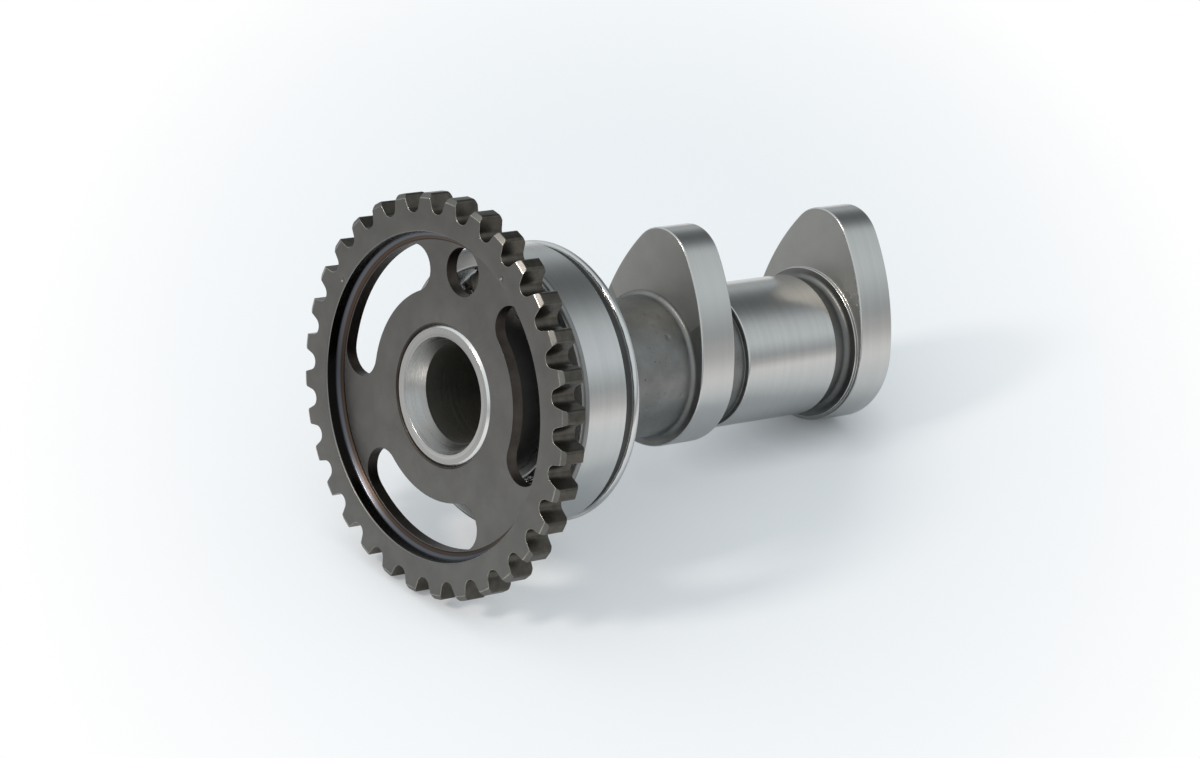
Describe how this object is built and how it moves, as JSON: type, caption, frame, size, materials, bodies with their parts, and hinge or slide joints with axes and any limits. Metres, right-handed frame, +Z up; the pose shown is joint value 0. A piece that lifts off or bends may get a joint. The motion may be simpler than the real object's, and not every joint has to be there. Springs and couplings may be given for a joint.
{
  "type": "camshaft",
  "caption": "Overhead camshaft with ground lobes and journal, a ball bearing at one end and a slotted chain sprocket pressed on the nose.",
  "frame": {"origin": "centre of the ball bearing, on the shaft's axis", "axes": "+X from the sprocket towards the lobes, with the shaft sloping down by 12.5 degrees as it rests on a floor; +Z up, with the lobes' noses upwards"},
  "size_m": [0.1025, 0.0668, 0.066],
  "materials": {
    "shaft_steel": "forged skin with ground lobes and journal",
    "sprocket_steel": "dark hardened, satin",
    "bearing_steel": "ground and bright",
    "ball_steel": "polished",
    "cage_steel": "pressed sheet"
  },
  "bodies": {
    "shaft": {"camshaft": "shaft_steel", "sprocket": "sprocket_steel", "bearing_inner_ring": "bearing_steel"},
    "outer_ring": {"bearing_outer_ring": "bearing_steel"},
    "cage": {"cage_front": "cage_steel", "cage_rear": "cage_steel", "ball_01": "ball_steel", "ball_02": "ball_steel", "ball_03": "ball_steel", "ball_04": "ball_steel", "ball_05": "ball_steel", "ball_06": "ball_steel", "ball_07": "ball_steel", "ball_08": "ball_steel", "ball_09": "ball_steel", "ball_10": "ball_steel", "cage_rivet_01": "cage_steel", "cage_rivet_02": "cage_steel", "cage_rivet_03": "cage_steel", "cage_rivet_04": "cage_steel", "cage_rivet_05": "cage_steel", "cage_rivet_06": "cage_steel", "cage_rivet_07": "cage_steel", "cage_rivet_08": "cage_steel", "cage_rivet_09": "cage_steel", "cage_rivet_10": "cage_steel"}
  },
  "joints": [
    {"name": "ring_turn", "type": "hinge", "parent": "shaft", "child": "outer_ring", "pos_m": [0, 0, 0], "axis": [0.9763, 0, -0.2165], "continuous": true},
    {"name": "cage_turn", "type": "hinge", "parent": "shaft", "child": "cage", "pos_m": [0, 0, 0], "axis": [0.9763, 0, -0.2165], "continuous": true}
  ],
  "couplings": [
    {"joint": "cage_turn", "follows": "ring_turn", "ratio": 0.58819}
  ]
}
